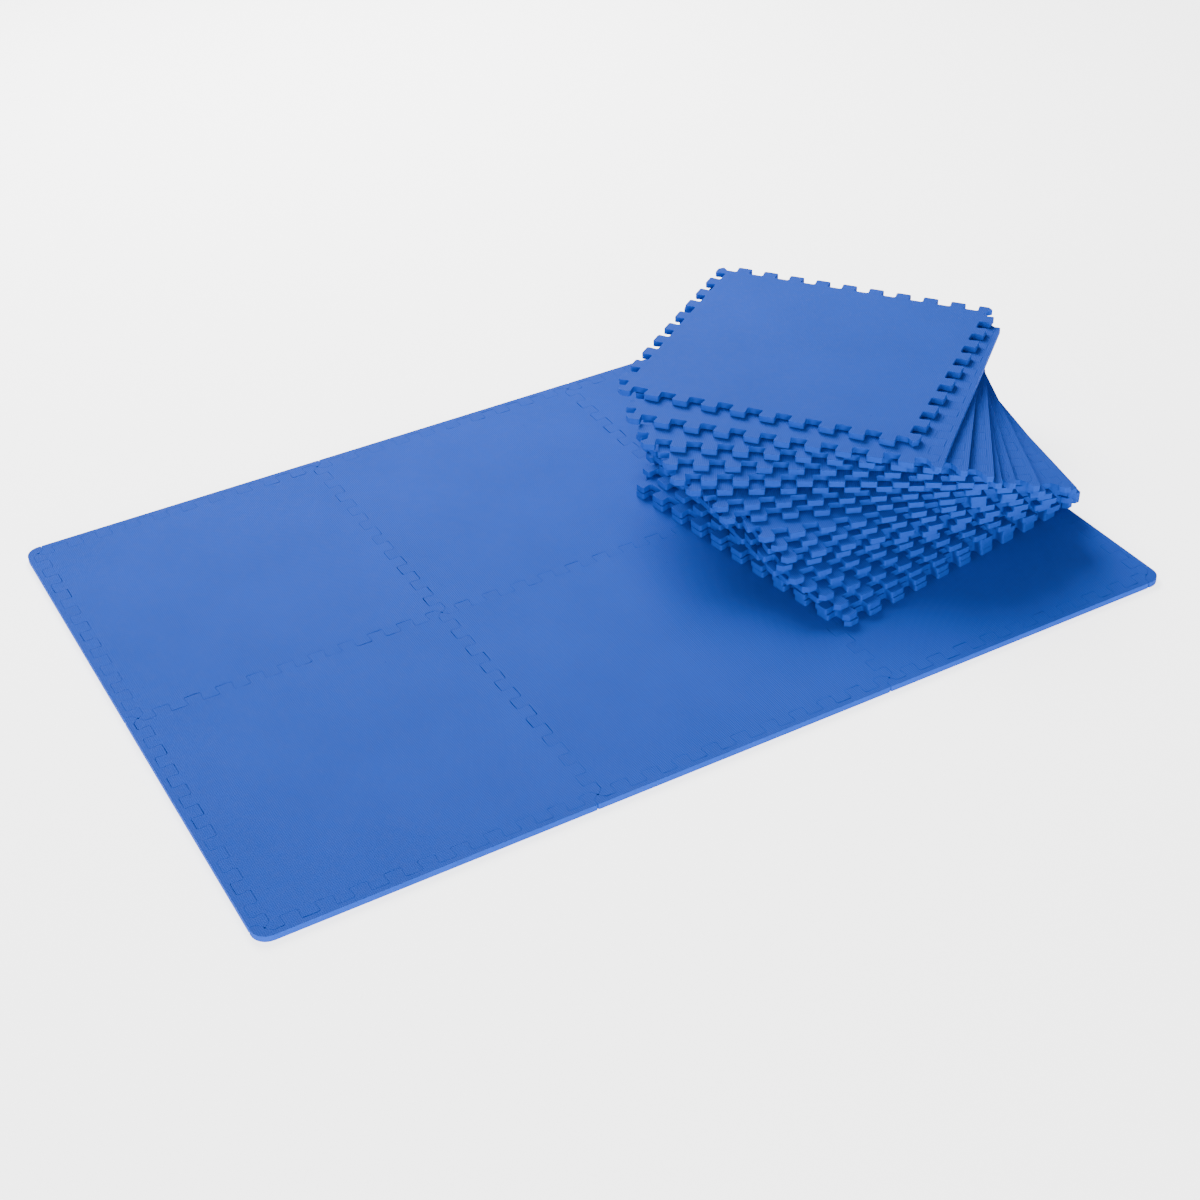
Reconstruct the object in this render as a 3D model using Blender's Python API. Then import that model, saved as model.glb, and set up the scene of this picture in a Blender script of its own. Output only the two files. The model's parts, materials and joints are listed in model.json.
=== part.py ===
"""Foam puzzle mats: six laid as a bordered floor, and eighteen spares fanned in a stack on it.

Metres, +Z up.  +X runs along the long side of the floor, and the near long side faces -Y.
The origin is on the ground, under the middle of the bounding box of all the pieces.
"""
import math

import bmesh
import bpy

COLLECTION = "blocking_mats"

# ---------------------------------------------------------------- one mat
TILE = 0.6096                   # seam to seam, 24 inches
THICKNESS = 0.0127              # half an inch of foam
TABS = 10                       # tabs along each side
PITCH = TILE / TABS
REACH = 0.012                   # tab tip beyond the seam line, and slot floor behind it
TIP_WIDTH = 0.0335              # dovetail tab across its tip
ROOT_WIDTH = 0.0274             # dovetail tab across its root
FIRST_TAB = PITCH / 4           # middle of the first tab from the corner of the module
LOBE_START = 0.010              # slanted end of the corner tab, along the side
CORNER_CUT = 0.002              # blunted point where four mats meet
GAP = 0.0003                    # clearance between pieces that touch

# ---------------------------------------------------------------- border strips
BORDER = 0.023                  # smooth edge beyond the seam line
CORNER_RADIUS = 0.030           # outer corner of the floor
CORNER_STEPS = 8

# ---------------------------------------------------------------- floor of six mats
COLUMNS = (-1, 0, 1)
ROWS = (-0.5, 0.5)
NEAR, RIGHT, FAR, LEFT = 0, 1, 2, 3     # sides of a mat, in quarter turns from the near one

# ---------------------------------------------------------------- stack of eighteen mats
LAYER_PITCH = THICKNESS + GAP
# Each mat from the top down: centre across and deep from the middle of the floor, and its turn
# in degrees.  The upper eight are fanned out, the lower ten come round to the floor's own sides.
STACK = (
    (0.630, 0.135, -53.0),
    (0.600, 0.075, -49.0),
    (0.585, 0.055, -41.0),
    (0.590, 0.025, -36.0),
    (0.580, 0.010, -33.0),
    (0.590, 0.005, -29.5),
    (0.605, -0.020, -25.0),
    (0.600, -0.030, -23.0),
    (0.615, -0.055, -15.5),
    (0.620, -0.060, -13.0),
    (0.615, -0.070, -10.5),
    (0.600, -0.065, -9.5),
    (0.575, -0.060, -3.0),
    (0.585, -0.070, -1.5),
    (0.595, -0.080, 1.0),
    (0.590, -0.085, 5.0),
    (0.575, -0.090, 8.5),
    (0.575, -0.090, 9.0),
)

# ---------------------------------------------------------------- colours
FLOOR_BLUE = (0.060, 0.190, 0.600, 1.0)
BORDER_BLUE = (0.052, 0.170, 0.560, 1.0)
STACK_BLUE = (0.048, 0.165, 0.550, 1.0)
STACK_BORDER_BLUE = (0.044, 0.155, 0.520, 1.0)


def toothed_side():
    """One side of a mat as (along, outward) points from the corner of its square module."""
    points = [(CORNER_CUT, 0.0), (0.0, CORNER_CUT), (LOBE_START, REACH)]
    for tab in range(TABS):
        middle = FIRST_TAB + tab * PITCH
        if tab > 0:
            points.append((middle - ROOT_WIDTH / 2, -REACH))
            points.append((middle - TIP_WIDTH / 2, REACH))
        points.append((middle + TIP_WIDTH / 2, REACH))
        points.append((middle + ROOT_WIDTH / 2, -REACH))
    points.append((TILE - LOBE_START, -REACH))
    return points


def beside_near_side(points):
    """Puts (along, outward) points on the near side of a module centred on the origin."""
    return [(along - TILE / 2, -TILE / 2 - outward) for along, outward in points]


def quarter_turns(points, count):
    """Turns an outline about the module's middle, counter-clockwise from above."""
    for _ in range(count):
        points = [(-y, x) for x, y in points]
    return points


def inset(points, distance):
    """Moves every edge of a counter-clockwise outline inward by the same distance."""
    moved = []
    count = len(points)
    for index in range(count):
        x, y = points[index]
        before = points[index - 1]
        after = points[(index + 1) % count]
        length_in = math.hypot(x - before[0], y - before[1])
        length_out = math.hypot(after[0] - x, after[1] - y)
        normal_in = (-(y - before[1]) / length_in, (x - before[0]) / length_in)
        normal_out = (-(after[1] - y) / length_out, (after[0] - x) / length_out)
        mitre = 1.0 + normal_in[0] * normal_out[0] + normal_in[1] * normal_out[1]
        moved.append((x + distance * (normal_in[0] + normal_out[0]) / mitre,
                      y + distance * (normal_in[1] + normal_out[1]) / mitre))
    return moved


def mat_outline():
    """A mat with the same toothed edge on its four sides, each a quarter turn from the last."""
    side = beside_near_side(toothed_side())
    points = []
    for turn in range(4):
        points.extend(quarter_turns(side, turn))
    return inset(points, GAP / 2)


def strip_outline(wraps_corner):
    """A border strip on the near side of a mat, toothed inside and smooth outside."""
    end = LOBE_START + CORNER_CUT
    if wraps_corner:
        points = [(-CORNER_CUT, 0.0), (0.0, -CORNER_CUT), (-LOBE_START, -REACH), (-BORDER, -REACH)]
        for step in range(CORNER_STEPS + 1):
            angle = math.pi / 2 * step / CORNER_STEPS
            points.append((CORNER_RADIUS - BORDER - CORNER_RADIUS * math.cos(angle),
                           BORDER - CORNER_RADIUS + CORNER_RADIUS * math.sin(angle)))
    else:
        points = [(-CORNER_CUT, 0.0), (-end, LOBE_START), (-end, BORDER)]
    points.append((TILE - end, BORDER))
    points.append((TILE - end, LOBE_START))
    points.append((TILE - CORNER_CUT, 0.0))
    points.append((TILE, -CORNER_CUT))
    points.extend(reversed(toothed_side()[1:]))
    return inset(beside_near_side(points), GAP / 2)


def foam_sheet(name, outline):
    """Cuts an outline out of foam: a filled flat curve given its thickness, kept as a mesh."""
    curve = bpy.data.curves.new(name + "_cut", "CURVE")
    curve.dimensions = "2D"
    curve.fill_mode = "BOTH"
    curve.extrude = THICKNESS / 2
    spline = curve.splines.new("POLY")
    spline.points.add(len(outline) - 1)
    for point, (x, y) in zip(spline.points, outline):
        point.co = (x, y, 0.0, 1.0)
    spline.use_cyclic_u = True
    blank = bpy.data.objects.new(name + "_cut", curve)
    bpy.context.scene.collection.objects.link(blank)
    bpy.context.view_layer.update()
    evaluated = blank.evaluated_get(bpy.context.evaluated_depsgraph_get())
    mesh = bpy.data.meshes.new_from_object(evaluated)
    bpy.data.objects.remove(blank)
    bpy.data.curves.remove(curve)
    mesh.name = name
    mesh.materials.clear()
    sheet = bmesh.new()
    sheet.from_mesh(mesh)
    bmesh.ops.remove_doubles(sheet, verts=sheet.verts, dist=GAP / 30)
    bmesh.ops.recalc_face_normals(sheet, faces=sheet.faces)
    sheet.to_mesh(mesh)
    sheet.free()
    return mesh


def foam_material(name, colour):
    """A matt closed-cell foam, one for each piece."""
    material = bpy.data.materials.new("foam_" + name)
    material.use_nodes = True
    shader = material.node_tree.nodes["Principled BSDF"]
    shader.inputs["Base Color"].default_value = colour
    shader.inputs["Roughness"].default_value = 0.85
    return material


def spread(outline, x, y, turn):
    """An outline's corners once it is turned about its module's middle and moved to (x, y)."""
    cosine = math.cos(turn)
    sine = math.sin(turn)
    return [(x + cosine * px - sine * py, y + sine * px + cosine * py) for px, py in outline]


def floor_plan():
    """The six mats and ten strips lying on the ground, as (name, kind, x, y, z, turn, colour)."""
    pieces = []
    ground = THICKNESS / 2
    for row, depth in enumerate(ROWS):
        for column in COLUMNS:
            name = "floor_mat_%s_%s" % (("near", "far")[row], ("left", "middle", "right")[column + 1])
            pieces.append((name, "mat", column * TILE, depth * TILE, ground, 0, FLOOR_BLUE))
    for column in COLUMNS:
        place = ("left", "middle", "right")[column + 1]
        near_kind = "corner_strip" if column == COLUMNS[0] else "strip"
        far_kind = "corner_strip" if column == COLUMNS[-1] else "strip"
        pieces.append(("floor_strip_near_" + place, near_kind, column * TILE, ROWS[0] * TILE,
                       ground, NEAR, BORDER_BLUE))
        pieces.append(("floor_strip_far_" + place, far_kind, column * TILE, ROWS[1] * TILE,
                       ground, FAR, BORDER_BLUE))
    for row, depth in enumerate(ROWS):
        place = ("near", "far")[row]
        right_kind = "corner_strip" if row == 0 else "strip"
        left_kind = "strip" if row == 0 else "corner_strip"
        pieces.append(("floor_strip_right_" + place, right_kind, COLUMNS[-1] * TILE, depth * TILE,
                       ground, RIGHT, BORDER_BLUE))
        pieces.append(("floor_strip_left_" + place, left_kind, COLUMNS[0] * TILE, depth * TILE,
                       ground, LEFT, BORDER_BLUE))
    return [(name, kind, x, y, z, quarter * math.pi / 2, colour)
            for name, kind, x, y, z, quarter, colour in pieces]


def stack_plan():
    """The eighteen spare mats, and the border strip left on all but the top one."""
    pieces = []
    for index, (x, y, degrees) in enumerate(STACK):
        layer = index + 1
        above_floor = len(STACK) - index
        z = THICKNESS / 2 + above_floor * LAYER_PITCH
        turn = math.radians(degrees)
        pieces.append(("stack_mat_%02d" % layer, "mat", x, y, z, turn, STACK_BLUE))
        if layer > 1:
            pieces.append(("stack_strip_%02d" % layer, "strip", x, y, z,
                           turn + RIGHT * math.pi / 2, STACK_BORDER_BLUE))
    return pieces


def build():
    for old in list(bpy.data.objects):
        bpy.data.objects.remove(old)
    collection = bpy.data.collections.new(COLLECTION)
    bpy.context.scene.collection.children.link(collection)

    outlines = {
        "mat": mat_outline(),
        "strip": strip_outline(False),
        "corner_strip": strip_outline(True),
    }
    sheets = {kind: foam_sheet(kind, outline) for kind, outline in outlines.items()}
    plan = floor_plan() + stack_plan()

    corners = []
    for _, kind, x, y, _, turn, _ in plan:
        corners.extend(spread(outlines[kind], x, y, turn))
    middle_x = (min(x for x, _ in corners) + max(x for x, _ in corners)) / 2
    middle_y = (min(y for _, y in corners) + max(y for _, y in corners)) / 2

    for name, kind, x, y, z, turn, colour in plan:
        piece = bpy.data.objects.new(name, sheets[kind].copy())
        piece.data.name = name
        piece.data.materials.append(foam_material(name, colour))
        piece.location = (x - middle_x, y - middle_y, z)
        piece.rotation_euler = (0.0, 0.0, turn)
        collection.objects.link(piece)
    for sheet in sheets.values():
        bpy.data.meshes.remove(sheet)


build()
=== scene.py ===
"""Foam puzzle mats: a bordered floor of six, and a fanned stack of eighteen on its right half.

Every mat and border strip is a foam sheet with softened edges, rounded tabs and a fine
embossed top.  Metres, +Z up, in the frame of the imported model.
"""

import json
import math

import bpy
import numpy as np
from mathutils import Matrix, Vector, geometry, noise


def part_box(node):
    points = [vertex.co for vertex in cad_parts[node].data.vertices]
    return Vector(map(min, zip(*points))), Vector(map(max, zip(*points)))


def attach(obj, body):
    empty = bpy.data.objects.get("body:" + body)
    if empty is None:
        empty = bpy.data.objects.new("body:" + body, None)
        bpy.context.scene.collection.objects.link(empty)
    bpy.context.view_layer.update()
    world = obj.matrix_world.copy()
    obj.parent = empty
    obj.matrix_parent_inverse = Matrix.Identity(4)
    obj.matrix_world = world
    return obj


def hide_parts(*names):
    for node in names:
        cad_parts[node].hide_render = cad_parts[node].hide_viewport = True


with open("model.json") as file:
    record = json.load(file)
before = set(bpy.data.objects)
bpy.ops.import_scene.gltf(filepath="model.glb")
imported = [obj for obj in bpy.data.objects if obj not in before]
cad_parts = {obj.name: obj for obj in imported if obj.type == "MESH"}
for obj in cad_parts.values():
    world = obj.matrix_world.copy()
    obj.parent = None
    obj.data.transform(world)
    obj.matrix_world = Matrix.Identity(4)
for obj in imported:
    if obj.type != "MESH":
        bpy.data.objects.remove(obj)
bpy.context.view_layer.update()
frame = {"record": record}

# ---------------------------------------------------------------- mats and strips, as in the CAD
TILE = 0.6096
THICKNESS = 0.0127
TABS = 10
PITCH = TILE / TABS
REACH = 0.012
TIP_WIDTH = 0.0335
ROOT_WIDTH = 0.0274
FIRST_TAB = PITCH / 4
LOBE_START = 0.010
CORNER_CUT = 0.002
BORDER = 0.023
CORNER_RADIUS = 0.030
CORNER_STEPS = 8
QUARTER = math.pi / 2

LAYERS = 18
TURNS = (-53.0, -49.0, -41.0, -36.0, -33.0, -29.5, -25.0, -23.0, -15.5,
         -13.0, -10.5, -9.5, -3.0, -1.5, 1.0, 5.0, 8.5, 9.0)

# ---------------------------------------------------------------- foam detail
FILLET = 0.0040                 # rounded corners of the tabs
FILLET_STEPS = 3
EDGE_STEP = 0.011               # longest run of a cut edge between two points
BORDER_STEP = 0.030
CAP_GRID = 0.024                # spacing of the points inside a mat's top
# each level up the cut edge: share of the thickness, and how far the edge is softened inward
LEVELS = ((0.0, 0.0004), (0.04, 0.0), (0.5, 0.0), (0.965, 0.0), (0.99, 0.00006), (1.0, 0.0002))
SEAM = 0.00006                  # half the clearance of a closed seam
SEAM_OPENING = 0.0014           # most that the tip of a tab stands back from its slot, at its top
OPENING_DEPTH = 0.6             # share of the thickness below which a seam stays closed
LEAN = (-0.0301, -0.0360)       # rise of the stack's top per metre to the right, and per metre deep
LEAN_MOST = 0.0160              # the most that the lean lifts a sheet
LEAN_GROWTH = 1.2               # how the lean grows with height in the stack
RIPPLE = 0.0006                 # unevenness of a stacked sheet, away from its middle
RIPPLE_SCALE = 7.0
RIPPLE_REACH = 0.35             # distance from the middle at which the unevenness is full
STRAIGHT = math.radians(20)     # a turn smaller than this is not rounded
FILLET_SHARE = 0.45             # most of a corner's shorter edge that its rounding takes
LEAST_MITRE = 0.4               # keeps a sharp corner from moving too far when it is inset
LONG_RUN = 3 * PITCH            # an edge longer than this is the smooth side of a strip
CAP_MARGIN = 0.009              # between the tabs' roots and the points inside a mat's top
MERGE_DISTANCE = 1e-7
ROUGHNESS = 0.00005             # unevenness of the cut edge, and its noise scale
ROUGHNESS_SCALE = 260.0
TIP_BAND = (0.85, 1.1)          # shares of a tab's reach, from the seam line, that count as its tip
BROAD_SCALE = 9.0               # noise that chooses which tab tips stand back
BROAD_SHARE = 1.5
FINE_SCALE = 40.0
FINE_SHARE = 0.9
CLOSED_SHARE = 0.10             # taken off the noise, so that most seams stay closed
LOOSENESS = {"strip": 0.0, "floor": 1.0, "stack": 0.25}     # share of SEAM_OPENING by place
EMBOSS_PITCH = 0.0072           # spacing of the crosshatch, drawn coarse so that it shows
HATCH_PAINTED_SHADE = 1.3                # how strongly the crosshatch changes the colour: painted shade and highlight of the embossed relief
# dark and light base colours
TOP_COLOURS = ((0.010, 0.046, 0.300, 1.0), (0.016, 0.061, 0.400, 1.0))
CUT_COLOURS = ((0.010, 0.050, 0.330, 1.0), (0.015, 0.062, 0.400, 1.0))

# ---------------------------------------------------------------- studio
GROUND_REACH = 30.0
GROUND_DROP = 0.0005            # keeps the ground clear of the mats' undersides
PAPER_TONE = 0.92
PAPER_GLOW = 2.6                # brings the ground near to the photo's white
WORLD_STRENGTH = 0.42


def toothed_side():
    """One side of a mat as (along, outward) points from the corner of its square module."""
    points = [(CORNER_CUT, 0.0), (0.0, CORNER_CUT), (LOBE_START, REACH)]
    for tab in range(TABS):
        middle = FIRST_TAB + tab * PITCH
        if tab > 0:
            points.append((middle - ROOT_WIDTH / 2, -REACH))
            points.append((middle - TIP_WIDTH / 2, REACH))
        points.append((middle + TIP_WIDTH / 2, REACH))
        points.append((middle + ROOT_WIDTH / 2, -REACH))
    points.append((TILE - LOBE_START, -REACH))
    return points


def beside_near_side(points):
    """Puts (along, outward) points on the near side of a module centred on the origin."""
    return [(along - TILE / 2, -TILE / 2 - outward) for along, outward in points]


def mat_outline():
    """A mat with the same toothed edge on its four sides."""
    side = beside_near_side(toothed_side())
    points = []
    for _ in range(4):
        points.extend(side)
        side = [(-y, x) for x, y in side]
    return points


def strip_outline(wraps_corner):
    """A border strip on the near side of a mat, toothed inside and smooth outside."""
    end = LOBE_START + CORNER_CUT
    if wraps_corner:
        points = [(-CORNER_CUT, 0.0), (0.0, -CORNER_CUT), (-LOBE_START, -REACH), (-BORDER, -REACH)]
        for step in range(CORNER_STEPS + 1):
            angle = QUARTER * step / CORNER_STEPS
            points.append((CORNER_RADIUS - BORDER - CORNER_RADIUS * math.cos(angle),
                           BORDER - CORNER_RADIUS + CORNER_RADIUS * math.sin(angle)))
    else:
        points = [(-CORNER_CUT, 0.0), (-end, LOBE_START), (-end, BORDER)]
    points.append((TILE - end, BORDER))
    points.append((TILE - end, LOBE_START))
    points.append((TILE - CORNER_CUT, 0.0))
    points.append((TILE, -CORNER_CUT))
    points.extend(reversed(toothed_side()[1:]))
    return beside_near_side(points)


def inset(points, distances):
    """Moves the edges of a counter-clockwise outline inward, by a distance at each point."""
    p = np.asarray(points)
    into = p - np.roll(p, 1, axis=0)
    away = np.roll(p, -1, axis=0) - p
    into /= np.linalg.norm(into, axis=1)[:, None]
    away /= np.linalg.norm(away, axis=1)[:, None]
    n1 = np.stack([-into[:, 1], into[:, 0]], axis=1)
    n2 = np.stack([-away[:, 1], away[:, 0]], axis=1)
    mitre = np.maximum(1.0 + (n1 * n2).sum(axis=1), LEAST_MITRE)
    return p + np.asarray(distances).reshape(-1, 1) * (n1 + n2) / mitre[:, None]


def rounded(points):
    """Rounds every corner of an outline, inside and outside ones alike."""
    soft = []
    count = len(points)
    for index in range(count):
        here = Vector(points[index])
        into = here - Vector(points[index - 1])
        away = Vector(points[(index + 1) % count]) - here
        shorter = min(into.length, away.length)
        into.normalize()
        away.normalize()
        turn = into.angle_signed(away, 0.0)
        if abs(turn) < STRAIGHT:
            soft.append(tuple(here))
            continue
        back = min(FILLET * math.tan(abs(turn) / 2), FILLET_SHARE * shorter)
        radius = back / math.tan(abs(turn) / 2)
        start = here - into * back
        side = Vector((into.y, -into.x)) if turn > 0 else Vector((-into.y, into.x))
        centre = start + side * radius
        if (centre - (here + away * back)).length > radius * 1.01:
            centre = start - side * radius
        first = start - centre
        last = here + away * back - centre
        span = first.angle_signed(last, 0.0)
        for step in range(FILLET_STEPS + 1):
            arm = first.copy()
            arm.rotate(Matrix.Rotation(-span * step / FILLET_STEPS, 2))
            soft.append(tuple(centre + arm))
    return soft


def divided(points):
    """Adds points along the long runs of an outline."""
    full = []
    count = len(points)
    for index in range(count):
        a = np.array(points[index])
        b = np.array(points[(index + 1) % count])
        length = np.linalg.norm(b - a)
        step = BORDER_STEP if length > LONG_RUN else EDGE_STEP
        parts = max(1, int(math.ceil(length / step)))
        for part in range(parts):
            full.append(tuple(a + (b - a) * part / parts))
    return full


def cap_triangles(outline, with_grid):
    """Points inside an outline, and triangles over it; the outline's own points come first."""
    points = [Vector(p) for p in outline]
    if with_grid:
        reach = TILE / 2 - REACH - CAP_MARGIN
        count = int(2 * reach / CAP_GRID)
        places = [-reach + 2 * reach * i / count for i in range(count + 1)]
        points.extend(Vector((x, y)) for x in places for y in places)
    border = list(range(len(outline)))
    verts, _, faces, origins, _, _ = geometry.delaunay_2d_cdt(points, [], [border], 1,
                                                              MERGE_DISTANCE)
    order = [source[0] for source in origins]
    assert len(verts) == len(points)
    return points[len(outline):], [[order[v] for v in face] for face in faces]


class Pattern:
    """The shared make-up of one kind of foam sheet: its outline, its levels and its faces."""

    def __init__(self, corners, with_grid):
        self.outline = divided(rounded([tuple(p) for p in inset(corners, [SEAM] * len(corners))]))
        top_outline = inset(self.outline, [LEVELS[-1][1]] * len(self.outline))
        inner, triangles = cap_triangles(top_outline, with_grid)
        self.inner = np.array([tuple(p) for p in inner]).reshape(-1, 2)
        n = len(self.outline)
        self.count = n
        rings = len(LEVELS)
        self.faces = []
        self.slots = []
        for ring in range(rings - 1):
            for i in range(n):
                j = (i + 1) % n
                self.faces.append((ring * n + i, ring * n + j,
                                   (ring + 1) * n + j, (ring + 1) * n + i))
                self.slots.append(1)
        top = (rings - 1) * n
        grid_top = rings * n
        grid_bottom = grid_top + len(self.inner)
        for a, b, c in triangles:
            up = [top + v if v < n else grid_top + v - n for v in (a, b, c)]
            down = [v if v < n else grid_bottom + v - n for v in (a, b, c)]
            self.faces.append(tuple(up))
            self.slots.append(0)
            self.faces.append(tuple(reversed(down)))
            self.slots.append(1)

    def points(self, seed, looseness):
        """Places in the sheet's own plane, and the share of the thickness, for every point."""
        outline = np.array(self.outline)
        opening = []
        for x, y in outline:
            broad = noise.noise(Vector((x * BROAD_SCALE, y * BROAD_SCALE, seed * 7.3)))
            fine = noise.noise(Vector((x * FINE_SCALE, y * FINE_SCALE, seed * 3.1 + 50)))
            from_seam = abs(max(abs(x), abs(y)) - TILE / 2) / REACH
            at_tip = 1.0 if TIP_BAND[0] < from_seam < TIP_BAND[1] else 0.0
            wish = broad * BROAD_SHARE + FINE_SHARE * fine - CLOSED_SHARE
            open_share = min(1.0, max(0.0, wish))
            opening.append(looseness * SEAM_OPENING * at_tip * open_share)
        opening = np.array(opening)
        flat = []
        share = []
        for level, (height, softening) in enumerate(LEVELS):
            spots = [Vector((x * ROUGHNESS_SCALE, y * ROUGHNESS_SCALE, seed + level * 9.7))
                     for x, y in outline]
            rough = np.array([ROUGHNESS * (1 + noise.noise(spot)) for spot in spots])
            flat.append(inset(outline, opening * (height > OPENING_DEPTH) + softening + rough))
            share.append(np.full(self.count, height))
        flat.append(self.inner)
        share.append(np.ones(len(self.inner)))
        flat.append(self.inner)
        share.append(np.zeros(len(self.inner)))
        return np.concatenate(flat), np.concatenate(share)


def lean(layer, x, y, centre):
    """How far the top of a stacked layer stands above its place in a perfectly flat stack."""
    if layer > LAYERS:
        return np.zeros_like(x)
    height = ((LAYERS - layer + 1) / LAYERS) ** LEAN_GROWTH
    rise = height * (LEAN[0] * (x - centre[0]) + LEAN[1] * (y - centre[1]))
    ripple = np.array([noise.noise(Vector((a * RIPPLE_SCALE, b * RIPPLE_SCALE, layer * 5.7)))
                       for a, b in zip(x, y)])
    away = np.clip(np.hypot(x - centre[0], y - centre[1]) / RIPPLE_REACH, 0, 1)
    uneven = RIPPLE * ripple * away * min(1.0, layer / 2) * (layer < LAYERS)
    return np.minimum(rise, LEAN_MOST * height) + uneven


def heights(layer, x, y, share, bottom, centre):
    """The height of every point of a stacked sheet, lying on the one below without cutting it."""
    own = lean(layer, x, y, centre)
    below = lean(layer + 1, x, y, centre)
    underside = bottom + np.maximum(own, below)
    upper = bottom + THICKNESS + own
    return underside + (upper - underside) * share


# ---------------------------------------------------------------- materials
def foam_material(name, dark, light, cut):
    """Closed-cell foam: an embossed top with marks and the painted shade of its crosshatch, or the
    finely porous face of a cut edge.
    """
    material = bpy.data.materials.new(name)
    material.use_nodes = True
    nodes = material.node_tree.nodes
    links = material.node_tree.links
    shader = nodes["Principled BSDF"]
    shader.inputs["Specular IOR Level"].default_value = 0.05
    place = nodes.new("ShaderNodeTexCoord").outputs["Object"]

    def math_node(operation, first, second=None):
        node = nodes.new("ShaderNodeMath")
        node.operation = operation
        for socket, value in zip(node.inputs, (first, second)):
            if value is None:
                continue
            if isinstance(value, (int, float)):
                socket.default_value = value
            else:
                links.new(value, socket)
        return node.outputs[0]

    def noise_node(scale, detail, roughness=0.5):
        node = nodes.new("ShaderNodeTexNoise")
        node.inputs["Scale"].default_value = scale
        node.inputs["Detail"].default_value = detail
        node.inputs["Roughness"].default_value = roughness
        links.new(place, node.inputs["Vector"])
        return node.outputs["Fac"]

    def span(value, low, high, start, end):
        node = nodes.new("ShaderNodeMapRange")
        node.inputs["From Min"].default_value = low
        node.inputs["From Max"].default_value = high
        node.inputs["To Min"].default_value = start
        node.inputs["To Max"].default_value = end
        links.new(value, node.inputs["Value"])
        return node.outputs["Result"]

    cloud = noise_node(5.0, 3.0)
    mottle = noise_node(60.0, 4.0, 0.6)
    grain = noise_node(900.0, 2.0, 0.6)
    colour_share = math_node("ADD", span(cloud, 0.3, 0.7, 0.0, 0.5), span(mottle, 0.3, 0.7, 0.0, 0.5))
    if not cut:
        parts = nodes.new("ShaderNodeSeparateXYZ")
        links.new(place, parts.inputs[0])
        turn = 2 * math.pi / EMBOSS_PITCH
        rising = math_node("ADD", parts.outputs[0], parts.outputs[1])
        one = math_node("SINE", math_node("MULTIPLY", rising, turn))
        falling = math_node("SUBTRACT", parts.outputs[0], parts.outputs[1])
        other = math_node("SINE", math_node("MULTIPLY", falling, turn))
        hatch = math_node("MULTIPLY", one, other)
        # painted shade: the crosshatch darkens and lightens the colour as light on the embossed
        # relief would, on top of its bump
        colour_share = math_node("ADD", colour_share, math_node("MULTIPLY", hatch, HATCH_PAINTED_SHADE))
    mix = nodes.new("ShaderNodeMix")
    mix.data_type = "RGBA"
    mix.inputs["A"].default_value = dark
    mix.inputs["B"].default_value = light
    links.new(colour_share, mix.inputs["Factor"])
    colour = mix.outputs["Result"]

    if cut:
        cells = nodes.new("ShaderNodeTexVoronoi")
        cells.inputs["Scale"].default_value = 700.0
        links.new(place, cells.inputs["Vector"])
        relief = math_node("ADD", math_node("MULTIPLY", cells.outputs["Distance"], 0.6),
                           math_node("MULTIPLY", grain, 0.5))
        strength = 0.30
        distance = 0.0004
        rough_low = 0.82
        rough_high = 0.95
    else:
        pits = nodes.new("ShaderNodeTexVoronoi")
        pits.inputs["Scale"].default_value = 34.0
        pits.inputs["Randomness"].default_value = 1.0
        links.new(place, pits.inputs["Vector"])
        chance = nodes.new("ShaderNodeSeparateColor")
        links.new(pits.outputs["Color"], chance.inputs[0])
        rare = math_node("GREATER_THAN", chance.outputs[0], 0.90)
        near = span(pits.outputs["Distance"], 0.02, 0.075, 1.0, 0.0)
        mark = math_node("MULTIPLY", rare, near)
        marked = nodes.new("ShaderNodeMix")
        marked.data_type = "RGBA"
        marked.inputs["B"].default_value = tuple(0.62 * c for c in dark[:3]) + (1.0,)
        links.new(math_node("MULTIPLY", mark, 0.55), marked.inputs["Factor"])
        links.new(colour, marked.inputs["A"])
        colour = marked.outputs["Result"]
        relief = math_node("SUBTRACT", math_node("ADD", math_node("MULTIPLY", hatch, 0.5),
                                                 math_node("MULTIPLY", grain, 0.25)), mark)
        strength = 0.90
        distance = 0.0006
        rough_low = 0.62
        rough_high = 0.80
    links.new(colour, shader.inputs["Base Color"])
    links.new(span(mottle, 0.3, 0.7, rough_low, rough_high), shader.inputs["Roughness"])
    bump = nodes.new("ShaderNodeBump")
    bump.inputs["Strength"].default_value = strength
    bump.inputs["Distance"].default_value = distance
    links.new(relief, bump.inputs["Height"])
    links.new(bump.outputs["Normal"], shader.inputs["Normal"])
    return material


TOP_FOAM = foam_material("foam_embossed", *TOP_COLOURS, cut=False)
CUT_FOAM = foam_material("foam_cut", *CUT_COLOURS, cut=True)

# ---------------------------------------------------------------- pieces
PATTERNS = {
    "mat": Pattern(mat_outline(), True),
    "strip": Pattern(strip_outline(False), False),
    "corner": Pattern(strip_outline(True), False),
}
body_of_node = {}
for body, members in frame["record"]["behaviour"]["bodies"].items():
    for member in members:
        body_of_node[member] = body


def middle_of(node):
    """The middle of a CAD node in x and y, and the height of its underside."""
    low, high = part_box(node)
    return (low[0] + high[0]) / 2, (low[1] + high[1]) / 2, low[2]


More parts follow.
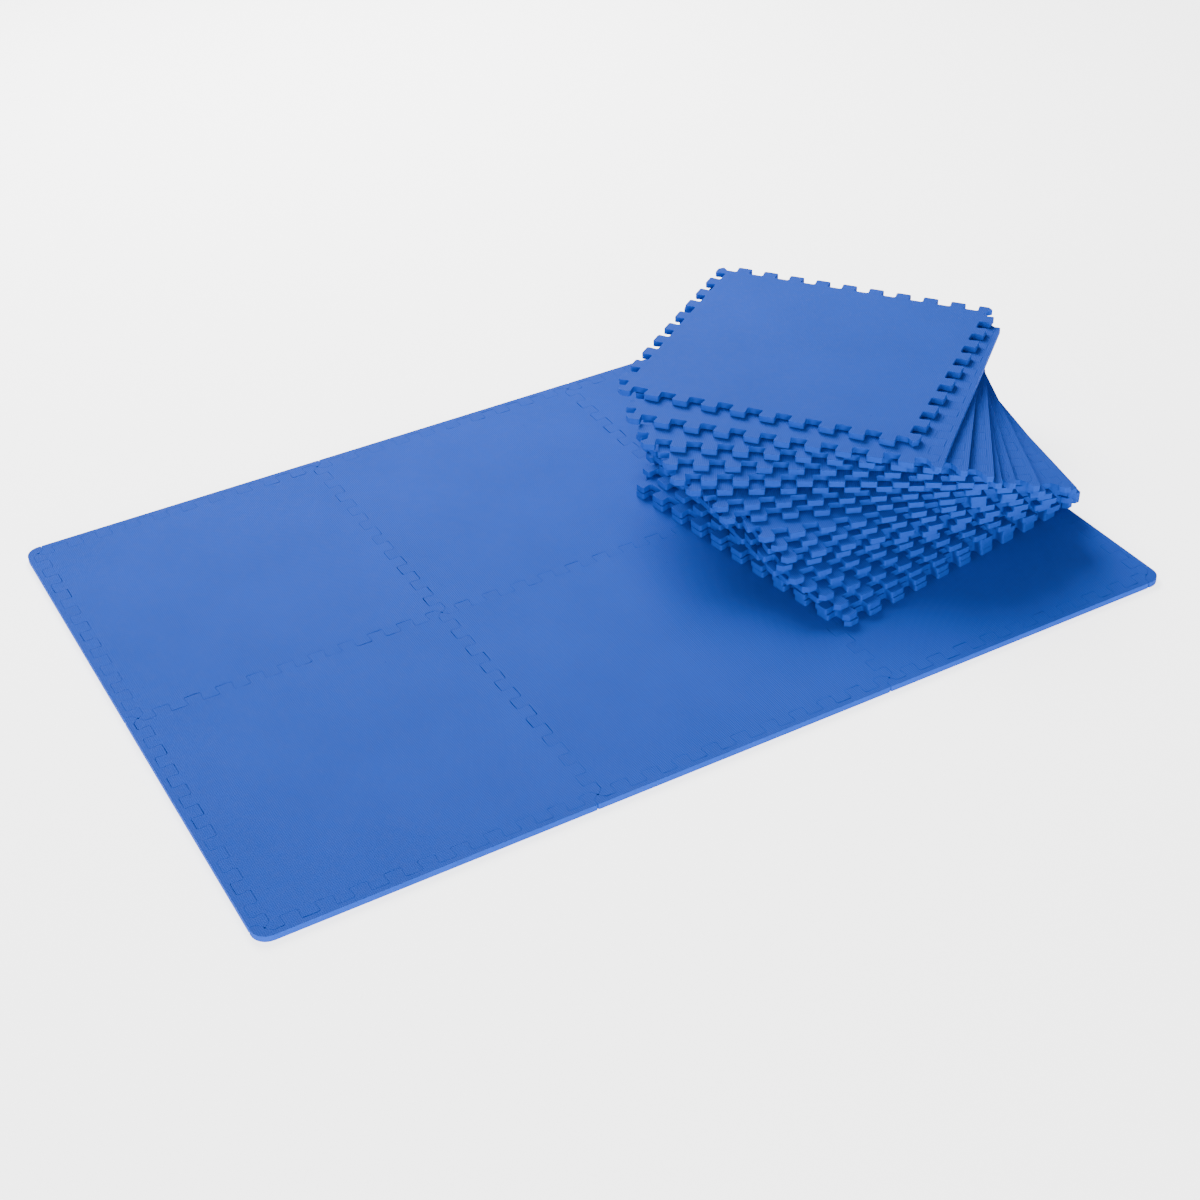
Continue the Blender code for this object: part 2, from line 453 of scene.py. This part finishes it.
def foam_piece(node, kind, seed, centre, turn, bottom, layer=None):
    """Makes the detailed foam sheet that stands for one CAD node."""
    pattern = PATTERNS[kind]
    if "strip" in node:
        looseness = LOOSENESS["strip"]
    else:
        looseness = LOOSENESS["floor" if layer is None else "stack"]
    flat, share = pattern.points(seed, looseness)
    cosine = math.cos(turn)
    sine = math.sin(turn)
    x = centre[0] + cosine * flat[:, 0] - sine * flat[:, 1]
    y = centre[1] + sine * flat[:, 0] + cosine * flat[:, 1]
    if layer is None:
        z = bottom + THICKNESS * share
    else:
        z = heights(layer, x, y, share, bottom, stack_middle)
    mesh = bpy.data.meshes.new(node + "_foam")
    local = np.stack([flat[:, 0], flat[:, 1], z - bottom], axis=1)
    mesh.from_pydata([tuple(p) for p in local], [], pattern.faces)
    mesh.materials.append(TOP_FOAM)
    mesh.materials.append(CUT_FOAM)
    mesh.polygons.foreach_set("material_index", pattern.slots)
    mesh.polygons.foreach_set("use_smooth", [True] * len(pattern.faces))
    mesh.update()
    piece = bpy.data.objects.new(node + "_foam", mesh)
    bpy.context.scene.collection.objects.link(piece)
    piece.location = (centre[0], centre[1], bottom)
    piece.rotation_euler = (0.0, 0.0, turn)
    even = piece.modifiers.new("even_shading", "WEIGHTED_NORMAL")
    even.weight = 80
    bpy.context.view_layer.update()
    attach(piece, body_of_node[node])
    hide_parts(node)
    return piece


floor_middle = {}
for row in ("near", "far"):
    for place in ("left", "middle", "right"):
        floor_middle[place, row] = middle_of("floor_mat_%s_%s" % (row, place))
top_middle = middle_of("stack_mat_01")
stack_middle = (top_middle[0], top_middle[1])

seed = 1
for (place, row), (x, y, bottom) in floor_middle.items():
    foam_piece("floor_mat_%s_%s" % (row, place), "mat", seed, (x, y), 0.0, bottom)
    seed += 1
for place in ("left", "middle", "right"):
    x, y, bottom = floor_middle[place, "near"]
    foam_piece("floor_strip_near_" + place, "corner" if place == "left" else "strip", seed,
               (x, y), 0.0, bottom)
    x, y, bottom = floor_middle[place, "far"]
    foam_piece("floor_strip_far_" + place, "corner" if place == "right" else "strip", seed + 1,
               (x, y), 2 * QUARTER, bottom)
    seed += 2
for row in ("near", "far"):
    x, y, bottom = floor_middle["right", row]
    foam_piece("floor_strip_right_" + row, "corner" if row == "near" else "strip", seed,
               (x, y), QUARTER, bottom)
    x, y, bottom = floor_middle["left", row]
    foam_piece("floor_strip_left_" + row, "corner" if row == "far" else "strip", seed + 1,
               (x, y), 3 * QUARTER, bottom)
    seed += 2
for layer in range(1, LAYERS + 1):
    x, y, bottom = middle_of("stack_mat_%02d" % layer)
    turn = math.radians(TURNS[layer - 1])
    foam_piece("stack_mat_%02d" % layer, "mat", seed, (x, y), turn, bottom, layer)
    if layer > 1:
        foam_piece("stack_strip_%02d" % layer, "strip", seed + 1,
                   (x, y), turn + QUARTER, bottom, layer)
    seed += 2

# ---------------------------------------------------------------- floor, light and camera
mat_x = floor_middle["middle", "near"][0]

ground_mesh = bpy.data.meshes.new("studio_floor")
ground_mesh.from_pydata([(-GROUND_REACH, -GROUND_REACH, 0), (GROUND_REACH, -GROUND_REACH, 0),
                         (GROUND_REACH, GROUND_REACH, 0), (-GROUND_REACH, GROUND_REACH, 0)],
                        [], [(0, 1, 2, 3)])
ground = bpy.data.objects.new("studio_floor", ground_mesh)
ground.location = (0.0, 0.0, -GROUND_DROP)
bpy.context.scene.collection.objects.link(ground)
paper = bpy.data.materials.new("studio_paper")
paper.use_nodes = True
paper_shader = paper.node_tree.nodes["Principled BSDF"]
paper_shader.inputs["Base Color"].default_value = (PAPER_TONE, PAPER_TONE, PAPER_TONE, 1.0)
paper_shader.inputs["Roughness"].default_value = 0.9
paper_shader.inputs["Emission Color"].default_value = (1.0, 1.0, 1.0, 1.0)
paper_shader.inputs["Emission Strength"].default_value = PAPER_GLOW
ground_mesh.materials.append(paper)

world = bpy.data.worlds.new("studio")
bpy.context.scene.world = world
world.use_nodes = True
world.node_tree.nodes["Background"].inputs["Color"].default_value = (1.0, 1.0, 1.0, 1.0)
world.node_tree.nodes["Background"].inputs["Strength"].default_value = WORLD_STRENGTH


def softbox(name, place, target, size, power):
    """A square soft light at place, facing target."""
    lamp = bpy.data.lights.new(name, "AREA")
    lamp.shape = "SQUARE"
    lamp.size = size
    lamp.energy = power
    light = bpy.data.objects.new(name, lamp)
    light.location = place
    direction = Vector(target) - Vector(place)
    light.rotation_euler = direction.to_track_quat("-Z", "Y").to_euler()
    bpy.context.scene.collection.objects.link(light)


softbox("key_light", (0.5, 3.2, 3.1), (0.0, 0.0, 0.0), 2.8, 500.0)
softbox("front_light", (-2.0, -6.4, 1.7), (0.5, 0.0, 0.1), 2.2, 450.0)
softbox("left_light", (-6.2, -2.4, 1.7), (0.5, 0.0, 0.1), 2.2, 290.0)

CAMERA_PLACE = (-1.5195, -2.9032, 2.3337)       # from the middle of the floor
CAMERA_YAW = 0.49299
CAMERA_PITCH = 0.63442
CAMERA_ROLL = -0.0356
CAMERA_LENS = 60.93

ahead = Vector((math.sin(CAMERA_YAW) * math.cos(CAMERA_PITCH),
                math.cos(CAMERA_YAW) * math.cos(CAMERA_PITCH), -math.sin(CAMERA_PITCH)))
level_right = Vector((math.cos(CAMERA_YAW), -math.sin(CAMERA_YAW), 0.0))
level_up = level_right.cross(ahead)
right = math.cos(CAMERA_ROLL) * level_right + math.sin(CAMERA_ROLL) * level_up
up = -math.sin(CAMERA_ROLL) * level_right + math.cos(CAMERA_ROLL) * level_up
camera_data = bpy.data.cameras.new("camera")
camera_data.sensor_width = 36.0
camera_data.lens = CAMERA_LENS
camera = bpy.data.objects.new("camera", camera_data)
bpy.context.scene.collection.objects.link(camera)
turned = Matrix((right, up, -ahead)).transposed().to_4x4()
camera.matrix_world = Matrix.Translation(Vector(CAMERA_PLACE) + Vector((mat_x, 0.0, 0.0))) @ turned
bpy.context.scene.camera = camera
